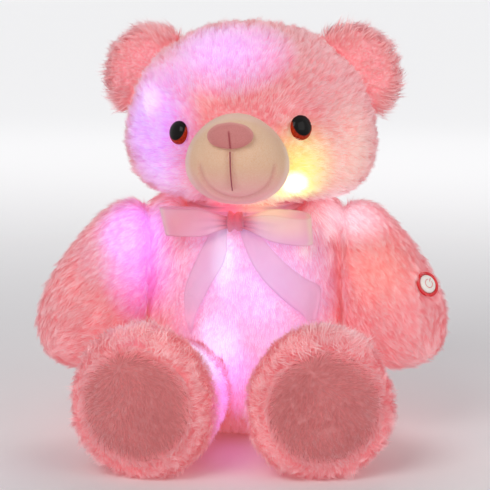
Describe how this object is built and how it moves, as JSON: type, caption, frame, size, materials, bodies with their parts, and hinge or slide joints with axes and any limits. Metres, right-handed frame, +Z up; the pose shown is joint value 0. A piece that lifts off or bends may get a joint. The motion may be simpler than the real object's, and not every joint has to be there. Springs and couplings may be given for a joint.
{
  "type": "plush night light",
  "caption": "Seated plush bear with a sewn face, a satin bow and a push button on one arm, lit by lamps under its pile, with a zipped battery pocket in its back.",
  "frame": {"origin": "on the surface that the bear sits on, under the middle of its box seen from above", "axes": "+Z up, -Y the way the torso faces, +X the bear's own left"},
  "size_m": [0.3652, 0.2932, 0.3712],
  "materials": {
    "plush": "long-pile plush, coral pink with pale tips",
    "fill": "white polyester fibre fill",
    "muzzle_cloth": "short-pile cream plush",
    "sole_cloth": "short-pile dusty rose plush",
    "nose_flock": "flocked dusty pink cloth",
    "maroon_thread": "embroidery thread",
    "eye_plastic": "polished black with a red-brown rim",
    "clear_nylon": "moulded nylon",
    "pink_satin": "sheer satin ribbon",
    "pocket_cloth": "thin woven lining",
    "box_plastic": "moulded plastic",
    "steel": "plain steel",
    "brass": "stamped strip",
    "cell_wrap": "plain wrap, no print",
    "circuit_board": "green solder mask",
    "zip_tape": "woven tape",
    "zip_nylon": "nylon teeth",
    "zip_metal": "lacquered die casting",
    "lamp_white": "clear lens, lit white-lilac",
    "lamp_yellow": "clear lens, lit warm yellow",
    "lamp_violet": "clear lens, lit violet",
    "lamp_pink": "clear lens, lit magenta pink",
    "lamp_orange": "clear lens, lit orange",
    "wire_sleeve": "soft wire sleeve",
    "red_plastic": "moulded plastic",
    "white_plastic": "moulded plastic"
  },
  "bodies": {
    "torso": {"torso_skin": "plush", "torso_stuffing": "fill", "wires_torso": "wire_sleeve", "led_chest": "lamp_white", "led_belly": "lamp_pink", "led_shoulder": "lamp_violet", "battery_pocket": "pocket_cloth", "battery_box": "box_plastic", "battery_lid": "box_plastic", "battery_lid_screw": "steel", "battery_cell_1": "cell_wrap", "battery_cell_2": "cell_wrap", "battery_cell_3": "cell_wrap", "contact_bridge_top": "brass", "contact_bridge_bottom": "brass", "control_board": "circuit_board", "zip_tape_left": "zip_tape", "zip_tape_right": "zip_tape", "zip_teeth_left": "zip_nylon", "zip_teeth_right": "zip_nylon", "ribbon_collar": "pink_satin", "bow_knot": "pink_satin", "bow_loop_left": "pink_satin", "bow_loop_right": "pink_satin", "bow_tail_left": "pink_satin", "bow_tail_right": "pink_satin"},
    "head": {"head_skin": "plush", "head_stuffing": "fill", "ear_left": "plush", "ear_right": "plush", "muzzle": "muzzle_cloth", "nose": "nose_flock", "mouth_stitch": "maroon_thread", "eye_left": "eye_plastic", "eye_right": "eye_plastic", "eye_washer_left": "clear_nylon", "eye_washer_right": "clear_nylon", "wires_head": "wire_sleeve", "led_cheek_left": "lamp_yellow", "led_cheek_right": "lamp_violet", "led_crown": "lamp_pink"},
    "arm_left": {"arm_left_skin": "plush", "arm_left_stuffing": "fill", "button_ring": "red_plastic", "switch_housing": "box_plastic", "switch_board": "circuit_board", "button_spring": "steel", "wires_arm_left": "wire_sleeve", "led_hand": "lamp_orange"},
    "arm_right": {"arm_right_skin": "plush", "arm_right_stuffing": "fill"},
    "leg_left": {"leg_left_skin": "plush", "leg_left_stuffing": "fill", "sole_left": "sole_cloth"},
    "leg_right": {"leg_right_skin": "plush", "leg_right_stuffing": "fill", "sole_right": "sole_cloth"},
    "button": {"button_cap": "white_plastic"},
    "zip_slider": {"zip_slider": "zip_metal"},
    "zip_pull": {"zip_pull": "zip_metal"}
  },
  "joints": [
    {"name": "head_turn", "type": "hinge", "parent": "torso", "child": "head", "pos_m": [0.00244, 0.05403, 0.208], "axis": [0, 0, 1], "range_deg": [-15, 15], "stiffness_Nm_per_rad": 0.15},
    {"name": "arm_left_swing", "type": "hinge", "parent": "torso", "child": "arm_left", "pos_m": [0.09094, 0.05103, 0.163], "axis": [-1, 0, 0], "range_deg": [0, 25], "stiffness_Nm_per_rad": 0.02},
    {"name": "arm_right_swing", "type": "hinge", "parent": "torso", "child": "arm_right", "pos_m": [-0.08606, 0.05103, 0.163], "axis": [-1, 0, 0], "range_deg": [0, 25], "stiffness_Nm_per_rad": 0.02},
    {"name": "leg_left_raise", "type": "hinge", "parent": "torso", "child": "leg_left", "pos_m": [0.04994, 0.02003, 0.0455], "axis": [-1, 0, 0], "range_deg": [0, 12], "stiffness_Nm_per_rad": 0.02},
    {"name": "leg_right_raise", "type": "hinge", "parent": "torso", "child": "leg_right", "pos_m": [-0.04506, 0.02003, 0.0455], "axis": [-1, 0, 0], "range_deg": [0, 12], "stiffness_Nm_per_rad": 0.02},
    {"name": "button_press", "type": "slide", "parent": "arm_left", "child": "button", "axis": [-0.5295, 0.7194, -0.4496], "range_m": [0, 0.0015], "stiffness_N_per_m": 600, "springref_m": -0.0005, "deforming": ["button_spring"]},
    {"name": "zip_slide", "type": "slide", "parent": "torso", "child": "zip_slider", "axis": [0, 0, 1], "range_m": [-0.066, 0]},
    {"name": "zip_pull_turn", "type": "hinge", "parent": "zip_slider", "child": "zip_pull", "pos_m": [0.00244, 0.13063, 0.1395], "axis": [1, 0, 0], "range_deg": [0, 150]}
  ]
}
